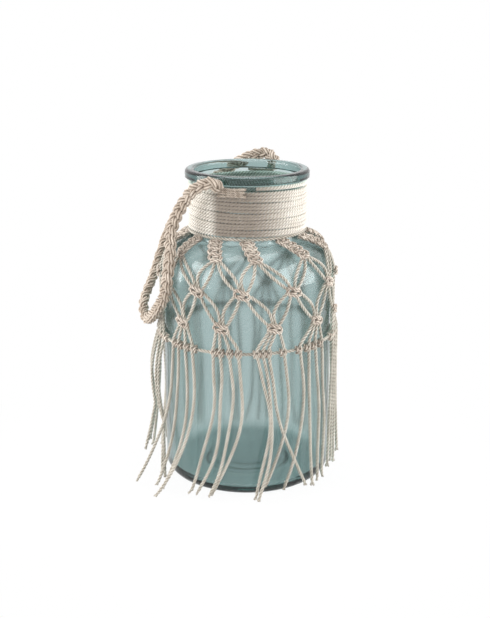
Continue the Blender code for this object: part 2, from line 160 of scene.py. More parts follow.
class Finish:
    """One material or world, with a node added by each call."""

    def __init__(self, holder):
        self.holder = holder
        holder.use_nodes = True
        self.tree = holder.node_tree
        self.nodes = self.tree.nodes

    def feed(self, socket, value):
        if isinstance(value, Number):
            value = value.socket
        if isinstance(value, bpy.types.NodeSocket):
            self.tree.links.new(value, socket)
        else:
            socket.default_value = value

    def add(self, kind, settings, sockets):
        node = self.nodes.new(kind)
        for name, value in settings.items():
            setattr(node, name, value)
        for name, value in sockets.items():
            self.feed(node.inputs[name], value)
        return node

    def noise(self, scale, detail=3, roughness=0.6):
        place = self.add("ShaderNodeTexCoord", {}, {}).outputs["Object"]
        sockets = {"Vector": place, "Scale": scale, "Detail": detail, "Roughness": roughness}
        return Number(self, self.add("ShaderNodeTexNoise", {}, sockets).outputs[0])

    def between(self, low, high, value):
        """0 where the value is low and 1 where it is high, with a soft step between."""
        sockets = {"Value": value, "From Min": low, "From Max": high}
        node = self.add("ShaderNodeMapRange", {"interpolation_type": "SMOOTHSTEP"}, sockets)
        return Number(self, node.outputs[0])

    def blend(self, mask, first, second):
        node = self.add("ShaderNodeMix", {"data_type": "RGBA"}, {0: mask, 6: first, 7: second})
        return node.outputs[2]

    def parted(self, vector):
        outputs = self.add("ShaderNodeSeparateXYZ", {}, {0: vector}).outputs
        return [Number(self, output) for output in outputs]

    def surface(self, sockets):
        shader = self.nodes["Principled BSDF"]
        for name, value in sockets.items():
            self.feed(shader.inputs[name], value)


def spun_fibre(name, light, dark, plies, fleck=0.35, front_shade=None, crease_shade=0.85):
    """Undyed plant fibre: painted shade in the creases between its plies, streaks along them, browner
    places.
    """
    fibre = Finish(bpy.data.materials.new(name))
    sheet = fibre.add("ShaderNodeTexCoord", {}, {}).outputs["UV"]
    along, turn = fibre.parted(sheet)[:2]
    phase = turn * (2 * math.pi * plies)
    wave = fibre.add("ShaderNodeMath", {"operation": "COSINE"}, {0: phase}).outputs[0]
    crease = 0.5 - Number(fibre, wave) * 0.5
    stretched = {"X": along * STREAK_ALONG, "Y": turn * STREAK_ROUND}
    strip = fibre.add("ShaderNodeCombineXYZ", {}, stretched).outputs[0]
    strip = fibre.add("ShaderNodeTexNoise", {}, {"Vector": strip, "Scale": 1, "Detail": 2}).outputs[0]
    streaks = fibre.between(0.3, 0.7, strip)
    broad = fibre.between(0.35, 0.65, fibre.noise(BROAD_SCALE, 2))
    flecks = fibre.between(0.6, 0.72, fibre.noise(FLECK_SCALE, 2))
    # Painted shade: further down, the creases between the plies are blended towards this darker shadow
    # colour.
    shadow = (*(part * share for part, share in zip(dark, CREASE_SHADOW_SHARES)), 1)
    colour = fibre.blend(broad * 0.3 + streaks * 0.4, light, dark)
    # Painted shade: an optional darker tone over the middle of the piece's front, fading out at two
    # places across it and towards the back.
    if front_shade:
        shade_tone, left, left_end, right, right_end = front_shade
        x, y = fibre.parted(fibre.add("ShaderNodeTexCoord", {}, {}).outputs["Object"])[:2]
        front = fibre.between(left, left_end, x) * (1 - fibre.between(right, right_end, x))
        front = front * (1 - fibre.between(FRONT_SHADE_EDGE, 0, y))
        colour = fibre.blend(front * FRONT_SHADE_SHARE, colour, shade_tone)
    colour = fibre.blend(flecks * fleck, colour, dark)
    colour = fibre.blend(crease**2 * crease_shade, colour, shadow)
    relief = streaks * 0.5 + fibre.noise(FUZZ_SCALE, 2, 0.7) + (1 - crease) * 0.8
    fuzz = {"Strength": FUZZ_STRENGTH, "Distance": FUZZ_DEPTH, "Height": relief}
    bump = fibre.add("ShaderNodeBump", {}, fuzz)
    fibre.surface({"Base Color": colour, "Roughness": 0.95 - streaks * 0.15, "Normal": bump.outputs[0]})
    fibre.surface({"Sheen Weight": 0.2, "Sheen Roughness": 0.5, "Specular IOR Level": 0.2})
    return fibre.holder


def spaced(points, spacing):
    """The line through the points, cut into even steps."""
    points = np.array([tuple(point) for point in points])
    reach = np.concatenate([[0], np.cumsum(np.linalg.norm(np.diff(points, axis=0), axis=1))])
    wanted = np.linspace(0, reach[-1], max(3, round(reach[-1] / spacing) + 1))
    return np.stack([np.interp(wanted, reach, points[:, k]) for k in range(3)], axis=1), wanted


def frames_along(line, guide=None):
    """Directions along, across and up at each point of a line: up near the guide, or turning little."""
    along = np.gradient(line, axis=0)
    along /= np.linalg.norm(along, axis=1)[:, None]
    if guide is not None:
        up = guide - along * (guide * along).sum(axis=1)[:, None]
        up /= np.linalg.norm(up, axis=1)[:, None]
        return along, np.cross(up, along), up
    start = np.cross(along[0], (0.3, 0.2, 1))
    across = [start / np.linalg.norm(start)]
    for way in along[1:]:
        turned = across[-1] - way * (across[-1] @ way)
        across.append(turned / np.linalg.norm(turned))
    across = np.array(across)
    return along, across, np.cross(along, across)


def laid_cord(points, radius, lay, plies=3, groove=0.4, spacing=0.0007, taper=0, finish=0):
    """A cord laid from round plies that turn about its middle line: vertices, faces, UVs and finish."""
    line, reach = spaced(points, spacing)
    _, across, up = frames_along(line)
    sides = 4 * plies
    angle = 2 * math.pi * np.arange(sides) / sides
    turned = angle[None, :] + 2 * math.pi * reach[:, None] / lay
    section = radius * (1 - groove * (0.5 - 0.5 * np.cos(plies * angle)))
    size = np.ones(len(line))[:, None] * section[None, :]
    if taper:
        size *= np.clip((reach[-1] - reach) / taper, THINNED_END_SHARE, 1)[:, None]
    out = np.cos(turned)[..., None] * across[:, None] + np.sin(turned)[..., None] * up[:, None]
    vertices = (line[:, None] + size[..., None] * out).reshape(-1, 3)
    start = sides * np.arange(len(line) - 1)[:, None] + np.arange(sides)[None, :]
    beside = sides * np.arange(len(line) - 1)[:, None] + (np.arange(sides)[None, :] + 1) % sides
    faces = np.stack([start, beside, beside + sides, start + sides], axis=-1).reshape(-1, 4).tolist()
    last = sides * (len(line) - 1)
    faces.append(list(range(sides))[::-1])
    faces.append([last + i for i in range(sides)])
    here, there = np.broadcast_arrays(reach[:-1, None], reach[1:, None] + 0 * angle[None, :])
    first, second = np.broadcast_arrays(np.arange(sides)[None, :] / sides, (start % sides + 1) / sides)
    corners = ((here, first), (here, second), (there, second), (there, first))
    sheet = np.stack([np.stack(corner, axis=-1) for corner in corners], axis=2).reshape(-1, 2)
    return vertices, faces, np.concatenate([sheet, np.zeros((2 * sides, 2))]), finish


def piece(name, cords, finishes, body, slot, *nodes):
    """One object from its cords. It rides on a body and stands for CAD nodes."""
    vertices, faces, which, first = [], [], [], 0
    for cord_vertices, cord_faces, _, finish in cords:
        vertices.append(cord_vertices)
        faces += [[first + i for i in face] for face in cord_faces]
        which += [finish] * len(cord_faces)
        first += len(cord_vertices)
    mesh = bpy.data.meshes.new(name)
    mesh.from_pydata(np.concatenate(vertices).tolist(), [], faces)
    sheet = mesh.uv_layers.new(name="lay")
    sheet.data.foreach_set("uv", np.concatenate([cord[2] for cord in cords]).astype(np.float32).ravel())
    for finish in finishes:
        mesh.materials.append(finish)
    mesh.polygons.foreach_set("material_index", which)
    mesh.shade_smooth()
    made = bpy.data.objects.new(name, mesh)
    bpy.context.scene.collection.objects.link(made)
    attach(made, body)
    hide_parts(*nodes)
    return made


def around(angle, out, up):
    """A point at an angle round the jar, from the front to the right, at a distance from its axis."""
    return Vector((out * math.sin(angle), -out * math.cos(angle), up))


def smooth_route(route, steps=12):
    """A smooth curve through a route's own points."""
    padded = [2 * route[0] - route[1]] + route + [2 * route[-1] - route[-2]]
    fine = []
    for a, b, c, d in zip(padded, padded[1:], padded[2:], padded[3:]):
        for i in range(steps):
            t = i / steps
            bend = (2 * a - 5 * b + 4 * c - d) * t**2 + (3 * b - a - 3 * c + d) * t**3
            fine.append((2 * b + (c - a) * t + bend) / 2)
    return fine + [route[-1]]


rope_finish = spun_fibre("plaited rope", ROPE_LIGHT, ROPE_DARK, ROPE_YARNS, ROPE_FLECK)
hinge_turn = math.radians(HANDLE_AXIS_DEGREES)
handle_front = around(hinge_turn, HANDLE_REACH, JAR_HEIGHT - HANDLE_AXIS_DROP)
handle_back = around(hinge_turn + math.pi, HANDLE_REACH, JAR_HEIGHT - HANDLE_AXIS_DROP)
route = [
    around(math.radians(turn), BODY_RADIUS + gap, JAR_HEIGHT - drop)
    for turn, gap, drop in HANDLE_ROUTE
]
handle_line = smooth_route([handle_front] + route + [handle_back])
middle, reach = spaced(handle_line, PLAIT_STEP)
facing = middle * (1, 1, 0) / np.linalg.norm(middle[:, :2], axis=1)[:, None] + PLAIT_FACING
_, across, up = frames_along(middle, facing)
plait = []
for number in range(3):
    phase = 2 * math.pi * (reach / PLAIT_LENGTH + number / 3)
    aside = PLAIT_SIDE * np.sin(phase)[:, None] * across
    line = middle + aside + PLAIT_DEPTH * np.sin(2 * phase)[:, None] * up
    strand = laid_cord(line, STRAND_RADIUS, STRAND_LAY, ROPE_YARNS, ROPE_GROOVE, ROPE_SPACING)
    plait.append(strand)
handle = piece("braided_handle", plait, [rope_finish], "handle", "plaited_rope", "rope_handle")
print(f"the handle's rope is {reach[-1]:.4f} m long")

# Glass jar: recycled glass, blown into a mould, so it is pale teal, a little wavy and slightly
# milky. Its rim is rolled, and a ring groove is pressed into its underside.
HEEL_RADIUS = 0.010
SHOULDER_BEND = 0.036
SHOULDER_DROP = 0.094
NECK_INSET = 0.0265
NECK_FILLET = 0.005
BEAD_REACH = 0.0055
BEAD_HEIGHT = 0.008
BEAD_ROUND = 0.0028
WALL = 0.0032
FLOOR_THICKNESS = 0.0065
FLOOR_DOME = 0.0015
GROOVE_RADIUS = 0.036
GROOVE_WIDTH = 0.0035
GROOVE_DEPTH = 0.0014
RING_STEP = 0.0006
RING_SHARES = ((0.65, 0.9), (0.92, 0.6))
HUB_RADIUS = GROOVE_RADIUS / 3
JAR_TURN_STEPS = 160
SHARP_DEGREES = 32
WELD = 0.00001
GLASS_ABSORPTION = 110
GLASS_DEPTH_TINT = (0.055, 0.318, 0.30, 1)
GLASS_TINT = (0.877, 0.911, 0.914, 1)
GLASS_SHADOW = (0.95, 1, 1, 1)
GLASS_IOR = 1.5
MILKY = 0.125
CLEAR = 0.015
WAVE_SCALE = 13
WAVE_STRENGTH = 0.5
WAVE_DEPTH = 0.0016
SUPPORT = 0.0006
LONG = 0.006
SHOULDER_START = JAR_HEIGHT - SHOULDER_DROP
NECK_RADIUS = BODY_RADIUS - NECK_INSET
BEAD_RADIUS = NECK_RADIUS + BEAD_REACH
SHOULDER_CENTRE = BODY_RADIUS - SHOULDER_BEND
SHOULDER_LENGTH = SHOULDER_BEND * math.pi / 2
FILLET_CENTRE = NECK_RADIUS + NECK_FILLET
FILLET_TILT = math.acos((FILLET_CENTRE - SHOULDER_CENTRE) / (SHOULDER_BEND + NECK_FILLET))
NECK_START = SHOULDER_START + (SHOULDER_BEND + NECK_FILLET) * math.sin(FILLET_TILT)


def arc(centre_out, centre_up, radius, start, end, steps):
    turns = [start + (end - start) * i / steps for i in range(steps + 1)]
    return [(centre_out + radius * math.cos(t), centre_up + radius * math.sin(t)) for t in turns]


def supported(points):
    """The outline with an extra point near both ends of its long lines, so that they shade flat."""
    made = [points[0]]
    for a, b in zip(points, points[1:]):
        length = math.dist(a, b)
        if length > LONG:
            step = [(q - p) / length * SUPPORT for p, q in zip(a, b)]
            made += [(a[0] + step[0], a[1] + step[1]), (b[0] - step[0], b[1] - step[1])]
        made.append(b)
    return made


quarter = math.pi / 2
inner_heel = HEEL_RADIUS - WALL
bead_top = JAR_HEIGHT - BEAD_ROUND
bead_foot = JAR_HEIGHT - BEAD_HEIGHT
foot_round = BEAD_ROUND / 2
outline = [(HUB_RADIUS, FLOOR_THICKNESS + FLOOR_DOME)]
for ring_share, ring_top in RING_SHARES:
    ring_out = GROOVE_RADIUS * ring_share
    outline += [(ring_out, FLOOR_THICKNESS + FLOOR_DOME * ring_top)]
    outline += [(ring_out + RING_STEP, FLOOR_THICKNESS + FLOOR_DOME * ring_top - RING_STEP)]
outline += arc(BODY_RADIUS - HEEL_RADIUS, FLOOR_THICKNESS + inner_heel, inner_heel, -quarter, 0, 10)
outline += arc(SHOULDER_CENTRE, SHOULDER_START, SHOULDER_BEND - WALL, 0, FILLET_TILT, 20)
outline += arc(FILLET_CENTRE, NECK_START, NECK_FILLET + WALL, math.pi + FILLET_TILT, math.pi, 8)[1:]
outline += arc(NECK_RADIUS - WALL + BEAD_ROUND, bead_top, BEAD_ROUND, math.pi, quarter, 8)
outline += arc(BEAD_RADIUS - BEAD_ROUND, bead_top, BEAD_ROUND, quarter, 0, 8)
outline += arc(BEAD_RADIUS - foot_round, bead_foot + foot_round, foot_round, 0, -quarter, 5)
outline += [(NECK_RADIUS, bead_foot)]
outline += arc(FILLET_CENTRE, NECK_START, NECK_FILLET, math.pi, math.pi + FILLET_TILT, 8)
outline += arc(SHOULDER_CENTRE, SHOULDER_START, SHOULDER_BEND, FILLET_TILT, 0, 24)[1:]
outline += arc(BODY_RADIUS - HEEL_RADIUS, HEEL_RADIUS, HEEL_RADIUS, 0, -quarter, 12)
groove_middle = GROOVE_RADIUS + GROOVE_WIDTH / 2
outline += [(GROOVE_RADIUS + GROOVE_WIDTH, 0), (groove_middle, GROOVE_DEPTH)]
outline += [(GROOVE_RADIUS, 0), (HUB_RADIUS, 0)]
outline = supported(outline)
bpy.ops.object.select_all(action="DESELECT")
bpy.ops.mesh.primitive_plane_add(size=WALL)
jar = bpy.context.object
jar.name = "blown_glass_jar"
bpy.ops.object.mode_set(mode="EDIT")
bpy.ops.mesh.merge(type="CENTER")
bpy.ops.transform.translate(value=(outline[0][0], 0, outline[0][1]))
for here, there in zip(outline, outline[1:]):
    step = (there[0] - here[0], 0, there[1] - here[1])
    bpy.ops.mesh.extrude_region_move(TRANSFORM_OT_translate={"value": step})
bpy.ops.mesh.select_all(action="SELECT")
bpy.ops.mesh.spin(steps=JAR_TURN_STEPS, angle=2 * math.pi, center=(0, 0, 0), axis=(0, 0, 1))
bpy.ops.mesh.select_all(action="SELECT")
bpy.ops.mesh.remove_doubles(threshold=WELD)
bpy.ops.mesh.select_all(action="DESELECT")
bpy.ops.mesh.select_non_manifold()
bpy.ops.mesh.edge_face_add()
bpy.ops.mesh.select_all(action="SELECT")
bpy.ops.mesh.normals_make_consistent(inside=False)
bpy.ops.mesh.select_all(action="DESELECT")
bpy.ops.object.mode_set(mode="OBJECT")
jar.data.shade_smooth()
jar.data.set_sharp_from_angle(angle=math.radians(SHARP_DEGREES))
glass = Finish(bpy.data.materials.new("recycled teal glass"))
waves = {"Strength": WAVE_STRENGTH, "Distance": WAVE_DEPTH, "Height": glass.noise(WAVE_SCALE, 1)}
bump = glass.add("ShaderNodeBump", {}, waves)
glass.surface({"Base Color": GLASS_TINT, "Transmission Weight": 1, "IOR": GLASS_IOR})
glass.surface({"Normal": bump.outputs[0]})
height = glass.parted(glass.add("ShaderNodeTexCoord", {}, {}).outputs["Object"])[2]
rim = glass.between(NECK_START, bead_foot, height)
glass.surface({"Roughness": MILKY - rim * (MILKY - CLEAR)})
depth = {"Color": GLASS_DEPTH_TINT, "Density": GLASS_ABSORPTION}
tint = glass.add("ShaderNodeVolumeAbsorption", {}, depth)
glass.tree.links.new(tint.outputs[0], glass.nodes["Material Output"].inputs["Volume"])
shadow_ray = glass.add("ShaderNodeLightPath", {}, {}).outputs["Is Shadow Ray"]
clear = glass.add("ShaderNodeBsdfTransparent", {}, {"Color": GLASS_SHADOW}).outputs[0]
parts = {0: shadow_ray, 1: glass.nodes["Principled BSDF"].outputs[0], 2: clear}
mixed = glass.add("ShaderNodeMixShader", {}, parts)
glass.tree.links.new(mixed.outputs[0], glass.nodes["Material Output"].inputs["Surface"])
jar.data.materials.clear()
jar.data.materials.append(glass.holder)
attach(jar, "vase")
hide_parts("glass_jar")

# Neck winding: one length of pale three-ply twine, wound turn under turn from a loose top turn.
# It covers the neck, and its turns touch.
TWINE_RADIUS = 0.0019
TWINE_SEAT_RADIUS = 0.00125
TWINE_SEAT = 0.0008
TWINE_PITCH = 0.00296
TWINE_TURNS = 13
TWINE_TOP_DROP = 0.0105
TWINE_SLACK = 0.0012
TWINE_START_DEGREES = 8
TWINE_LAY = -0.0098
TWINE_LIGHT = (0.87, 0.84, 0.78, 1)
TWINE_DARK = (0.68, 0.62, 0.54, 1)
# Painted shade on the middle of the winding's front: its tone, and where it fades in and out across the
# jar.
TWINE_FRONT_SHADE = ((0.20, 0.168, 0.14, 1), -0.033, -0.024, 0.0, 0.045)
TWINE_EXTRA_TURN = 0.32
TWINE_POINTS = 120
TWINE_GROOVE = 0.34
TWINE_SPACING = 0.0008
TWINE_WOBBLE = 0.00035
twine_ring = NECK_RADIUS + TWINE_SEAT + TWINE_SEAT_RADIUS
TWINE_TOP = JAR_HEIGHT - TWINE_TOP_DROP
twine_finish = spun_fibre("pale twine", TWINE_LIGHT, TWINE_DARK, 3, front_shade=TWINE_FRONT_SHADE)
turns = []
for i in range(round((TWINE_TURNS + TWINE_EXTRA_TURN) * TWINE_POINTS) + 1):
    turn = i / TWINE_POINTS
    angle = math.radians(TWINE_START_DEGREES) + 2 * math.pi * turn
    wobble = TWINE_WOBBLE * (math.sin(3.1 * angle) + math.sin(1.37 * angle + 1))
    height = TWINE_TOP - TWINE_SLACK * min(1, turn) - TWINE_PITCH * min(turn, TWINE_TURNS) + wobble
    turns.append(around(angle, twine_ring + wobble / 2, height))
winding = laid_cord(turns, TWINE_RADIUS, TWINE_LAY, groove=TWINE_GROOVE, spacing=TWINE_SPACING)
piece("wound_twine", [winding], [twine_finish], "vase", "pale_twine", "neck_winding")

# Header cord: a ring of net cord tied under the winding, which the sinnets hang from.
# It is the same three-ply cotton as the rest of the net.
CORD_RADIUS = 0.00158
CORD_SEAT_RADIUS = 0.0013
CORD_LAY = 0.0106
SEAT_GAP = 0.0003
HEADER_DROP = 0.0021
HEADER_POINTS = 120
COTTON_LIGHT = (0.70, 0.66, 0.585, 1)
COTTON_DARK = (0.34, 0.30, 0.24, 1)
# How strongly the creases of the net's cotton are painted with shade.
COTTON_CREASE_SHADE = 0.8


def level_ring(out, up, points):
    """A closed level ring round the jar."""
    return [around(2 * math.pi * i / points, out, up) for i in range(points + 1)]


cotton_finish = spun_fibre("natural cotton", COTTON_LIGHT, COTTON_DARK, 3, crease_shade=COTTON_CREASE_SHADE)
header_ring = NECK_RADIUS + TWINE_SEAT + CORD_SEAT_RADIUS
twine_foot = TWINE_TOP - TWINE_SLACK - TWINE_PITCH * TWINE_TURNS
header_height = twine_foot - TWINE_SEAT_RADIUS - HEADER_DROP
ring = level_ring(header_ring, header_height, HEADER_POINTS)
header = laid_cord(ring, CORD_RADIUS, CORD_LAY)
piece("header_ring_cord", [header], [cotton_finish], "vase", "natural_cotton", "header_cord")

# Sinnets: twelve short columns of square knots, tied from four cords each. At its foot the cords
# part in twos, and run to the next row's knots on its left and right.
COLUMNS = 12
FIRST_COLUMN_DEGREES = -57
TOP_SHIFT_SHARES = (0.13, -0.13, -0.13, 0, 0, -0.03, 0.06, 0, -0.05, 0.04, 0, 0.05)
FOOT_SHIFT_SHARES = (0.04, 0.17, 0.11, 0.42, 0.62, 0.45, 0.4, 0.3, 0.25, 0.3, 0.2, 0.1)
UPPER_SHIFT_SHARES = (0.32, 0.29, 0.38, 0.52, 0.5, 0.45, 0.42, 0.35, 0.3, 0.32, 0.28, 0.3)
SINNET_WIDTH = 0.0105
SINNET_THICKNESS = 0.0060
SINNET_HALF_KNOTS = 9
SINNET_END_DROP = 0.0315
KNOT_WIDTH = 0.0125
KNOT_HEIGHT = 0.0085
UPPER_DROP = 0.0570
CORD_LIFT = 0.0021
STRAND_PLACE_SHARES = (-0.37, -0.13, 0.13, 0.37)
STRAND_BOW_SHARES = (-0.42, 0.16, -0.16, 0.42)
NET_WANDER = 0.0035
NET_POINTS = 24
BOW_SHARES = (0.75, 1.25)
KNOT_TILT = 0.3
KNOT_TILT_SHARES = (0.7, 1.2)
KNOT_WIDE_SHARES = (0.92, 1.06)
HALF_KNOT_POINTS = 16
NET_SEED = 11
# The knots' cotton is a copy of the net's cotton, paler, with much darker painted shade in its creases
# for the shade among the knots, and with more brown flecks.
KNOT_LIGHT = (0.84, 0.755, 0.66, 1)
KNOT_DARK = (0.22, 0.155, 0.11, 1)
KNOT_FLECK = 0.7
draw = Random(NET_SEED)
knot_cotton_with_shade = spun_fibre("cotton in the knots", KNOT_LIGHT, KNOT_DARK, 3, KNOT_FLECK)


def column_angle(column, shift_share):
    return math.radians(FIRST_COLUMN_DEGREES) + (column + shift_share) * 2 * math.pi / COLUMNS


def on_glass(angle, drop, lift):
    """A point held off the glass at a drop below the shoulder's top, and the glass's normal there."""
    if drop < SHOULDER_LENGTH:
        tilt = math.pi / 2 - drop / SHOULDER_BEND
        normal = around(angle, math.cos(tilt), math.sin(tilt))
        return around(angle, SHOULDER_CENTRE, SHOULDER_START) + normal * (SHOULDER_BEND + lift), normal
    height = SHOULDER_START + SHOULDER_LENGTH - drop
    return around(angle, BODY_RADIUS + lift, height), around(angle, 1, 0)


def square_knots(places, width, thickness):
    """A half knot round the fillers at each place, and the loops that join them at the sides."""
    cords = []
    half_width = width / 2 - CORD_RADIUS
    half_depth = thickness / 2 - CORD_RADIUS
    points = [point for point, _ in places]
    edges = []
    for i, (point, normal) in enumerate(places):
        way = (points[min(i + 1, len(points) - 1)] - points[max(i - 1, 0)]).normalized()
        side = way.cross(normal).normalized()
        slope = side + way * KNOT_TILT * (1 if i % 2 else -1) * draw.uniform(*KNOT_TILT_SHARES)
        wide = half_width * draw.uniform(*KNOT_WIDE_SHARES)
        ring = []
        for j in range(HALF_KNOT_POINTS + 1):
            t = 2 * math.pi * j / HALF_KNOT_POINTS
            ring.append(point + slope * wide * math.cos(t) + normal * half_depth * math.sin(t))
        cords.append(laid_cord(ring, CORD_RADIUS, CORD_LAY, finish=1))
        edges.append((point + slope * wide, point - slope * wide, side, normal))
    for i, (first, second) in enumerate(zip(edges, edges[1:])):
        k = i % 2
        out = first[2] * (CORD_RADIUS if k == 0 else -CORD_RADIUS) + first[3] * CORD_RADIUS / 2
        loop = smooth_route([first[k], (first[k] + second[k]) / 2 + out, second[k]], 8)
        cords.append(laid_cord(loop, CORD_RADIUS, CORD_LAY, finish=1))
    return cords


def net_strand(start, end, bow):
    """A cord over the glass between two places, bowed to one side."""
    points = []
    wander = draw.uniform(-NET_WANDER, NET_WANDER)
    for i in range(NET_POINTS + 1):
        share = i / NET_POINTS
        angle = start[0] + (end[0] - start[0]) * share + bow * math.sin(math.pi * share)
        angle += wander * math.sin(2 * math.pi * share)
        points.append(on_glass(angle, start[1] + (end[1] - start[1]) * share, CORD_LIFT)[0])
    return laid_cord(points, CORD_RADIUS, CORD_LAY)


def strand_start(angle, drop, width, strand):
    out = on_glass(angle, drop, CORD_LIFT)[0].xy.length
    return angle + width * STRAND_PLACE_SHARES[strand] / out


def strands_down(angle, drop, width, left, right):
    """The four cords from one knot into the next knots on its left and right."""
    cords = []
    for strand, target in enumerate((left, left, right, right)):
        start = (strand_start(angle, drop, width, strand), drop)
        end = (strand_start(*target, KNOT_WIDTH, (strand + 2) % 4), target[1] - KNOT_HEIGHT / 4)
        bow = STRAND_BOW_SHARES[strand] * draw.uniform(*BOW_SHARES) * KNOT_WIDTH / BODY_RADIUS
        cords.append(net_strand(start, end, bow))
    return cords


def sinnet_place(column, share):
    """Where a column of knots runs: its angle and drop, from its top at 0 to its foot at 1."""
    header_out = header_ring - SHOULDER_CENTRE
    header_up = header_height - SHOULDER_START
    top_drop = SHOULDER_BEND * (math.pi / 2 - math.atan2(header_up, header_out))
    top = column_angle(column, TOP_SHIFT_SHARES[column])
    foot = column_angle(column, FOOT_SHIFT_SHARES[column])
    return top + (foot - top) * share, top_drop + (SINNET_END_DROP - top_drop) * share


def upper_place(column):
    """The upper knot between a column and the next, also where the count passes the first or last."""
    turn = 2 * math.pi * (column // COLUMNS)
    shift_share = UPPER_SHIFT_SHARES[column % COLUMNS]
    return turn + column_angle(column % COLUMNS + 1 / 2, shift_share), UPPER_DROP


net_finishes = [cotton_finish, knot_cotton_with_shade]
for column in range(COLUMNS):
    shares = [i / (SINNET_HALF_KNOTS - 1) for i in range(SINNET_HALF_KNOTS)]
    lift = SEAT_GAP + SINNET_THICKNESS / 2
    places = [on_glass(*sinnet_place(column, share), lift) for share in shares]
    cords = square_knots(places, SINNET_WIDTH, SINNET_THICKNESS)
    for strand in (1, 2):
        filler = []
        for share in shares:
            angle, drop = sinnet_place(column, share)
            filler.append(on_glass(strand_start(angle, drop, SINNET_WIDTH, strand), drop, lift)[0])
        cords.append(laid_cord(filler, CORD_RADIUS, CORD_LAY))
    angle, drop = sinnet_place(column, 1)
    cords += strands_down(angle, drop, SINNET_WIDTH, upper_place(column - 1), upper_place(column))
    name = f"{column + 1:02d}"
    node = f"sinnet_{name}"
    piece(f"square_knot_column_{name}", cords, net_finishes, "vase", "natural_cotton", node)

# Upper knots: a square knot where two neighbouring columns' cords meet, on the edge of the
# shoulder. Its four cords part again below it.
LOWER_SHIFT_SHARES = (0.42, 0.36, 0.46, 0.53, 0.52, 0.48, 0.5, 0.42, 0.4, 0.36, 0.38, 0.4)
LOWER_DROP = 0.0870
KNOT_THICKNESS = 0.0064
KNOT_HALF_KNOTS = 3


def lower_place(column):
    """The lower knot under a column, also where the count passes the last."""
    turn = 2 * math.pi * (column // COLUMNS)
    shift_share = LOWER_SHIFT_SHARES[column % COLUMNS]
    return turn + column_angle(column % COLUMNS, shift_share), LOWER_DROP


def net_knot(angle, drop):
    """One square knot of the net, lying on the glass."""
    places = []
    for i in range(KNOT_HALF_KNOTS):
        share = i / (KNOT_HALF_KNOTS - 1) - 0.5
        half_knot_drop = drop + share * (KNOT_HEIGHT - 2 * CORD_RADIUS)
        places.append(on_glass(angle, half_knot_drop, SEAT_GAP + KNOT_THICKNESS / 2))
    return square_knots(places, KNOT_WIDTH, KNOT_THICKNESS)


for column in range(COLUMNS):
    angle, drop = upper_place(column)
    cords = net_knot(angle, drop)
    cords += strands_down(angle, drop, KNOT_WIDTH, lower_place(column), lower_place(column + 1))
    name = f"{column + 1:02d}"
    node = f"upper_knot_{name}"
    piece(f"net_knot_{name}", cords, net_finishes, "vase", "natural_cotton", node)

# Band cord: a level ring of the same cotton round the body. Every cord of the net is hitched
# over it, which keeps the fringe spread.
BAND_DROP = 0.1093
BAND_SEAT_RADIUS = 0.0013
BAND_POINTS = 180
band_ring = BODY_RADIUS + TWINE_SEAT + BAND_SEAT_RADIUS
band_height = SHOULDER_START + SHOULDER_LENGTH - BAND_DROP
band = laid_cord(level_ring(band_ring, band_height, BAND_POINTS), CORD_RADIUS, CORD_LAY)
piece("band_ring_cord", [band], [cotton_finish], "vase", "natural_cotton", "band_cord")

# Tassels: the lower knots, whose four cords each take two turns over the band cord and then hang
# free nearly to the floor. Their ends are cut, and the plies have begun to part.
BAND_SHIFT_SHARES = (0.46, 0.45, 0.36, 0.34, 0.5, 0.47, 0.5, 0.44, 0.42, 0.38, 0.4, 0.42)
HITCH_SPREAD_SHARES = (
    (-0.30, -0.13, 0.07, 0.26),
    (-0.24, -0.10, 0.09, 0.27),
    (-0.27, -0.15, -0.03, 0.29),
    (-0.32, -0.09, 0.10, 0.32),
)
HITCH_LIFT = 0.0057
HITCH_REACH = 0.0027
HITCH_STEP = 0.0015
HITCH_WRAP_DEGREES = 250
HITCH_LEAN = 0.004
HITCH_POINTS = 12
FRINGE_FOOT = 0.0025
FRINGE_SPREAD = 0.010
FRINGE_LAYER = 0.0034
FRINGE_SWAY = 0.024
FRINGE_SWAY_SHARES = (
    (-0.75, -0.85, -1.0, -0.9),
    (-0.85, -1.0, -1.15, -1.1),
    (0.1, 0.25, 1.05, -0.55),
    (0.6, -0.75, 0.1, 0.0),
    (0.15, 0.05, -0.1, 0.1),
    (-0.1, 0.2, 0.1, 0.25),
    (0.3, 0.1, 0.05, -0.15),
    (-0.2, 0.15, 0.1, 0.3),
    (0.05, -0.1, 0.2, -0.2),
    (-0.1, -0.25, 0.1, -0.3),
    (-0.2, -0.1, -0.35, -0.3),
    (-0.3, -0.5, -0.6, -0.7),
)
FRINGE_BOW = 0.010
BACK_BOW_SHARE = 0.35
FRINGE_RIPPLE = 0.0013
FRINGE_POWER = 2.4
FRINGE_POINTS = 48
FRONT_FEET = {
    0: ((-63, 0.036, 0.003), (-52.7, 0.0248, 0.003), (-47.5, 0.026, 0.003), (-44, 0.0387, 0.003)),
    1: ((-33.7, 0.016, 0.003), (-28.4, 0.0141, 0.003), (-22.2, 0.014, 0.003), (-20.6, 0.0121, 0.004)),
    2: ((4.9, 0.0124, 0.003), (6.7, 0.0163, 0.003), (39.6, 0.0055, 0.004), (11.1, 0.0063, 0.0106)),
    3: ((23.3, 0.0056, 0.006), (43.1, 0.0093, 0.004), (50, 0.0066, 0.004), (56.8, 0.0058, 0.004)),
    4: ((64.3, 0.0055, 0.010), (70, 0.006, 0.012), (78, 0.006, 0.006), (84, 0.009, 0.014)),
    11: ((-84, 0.0159, 0.025), (-71.9, 0.022, 0.0253), (-60.4, 0.0106, 0.003), (-66.3, 0.010, 0.003)),
}
LEFT_BOW_OUT = 0.006
FRONT_BOW_SHARES = (
    (-0.2, 0.0, 0.4, 0.4),
    (0.1, 0.3, 0.4, 0.5),
    (1.0, 0.8, 0.4, 0.6),
    (0.6, 0.1, 0.5, 0.4),
)
FRINGE_SPLAY = 0.028
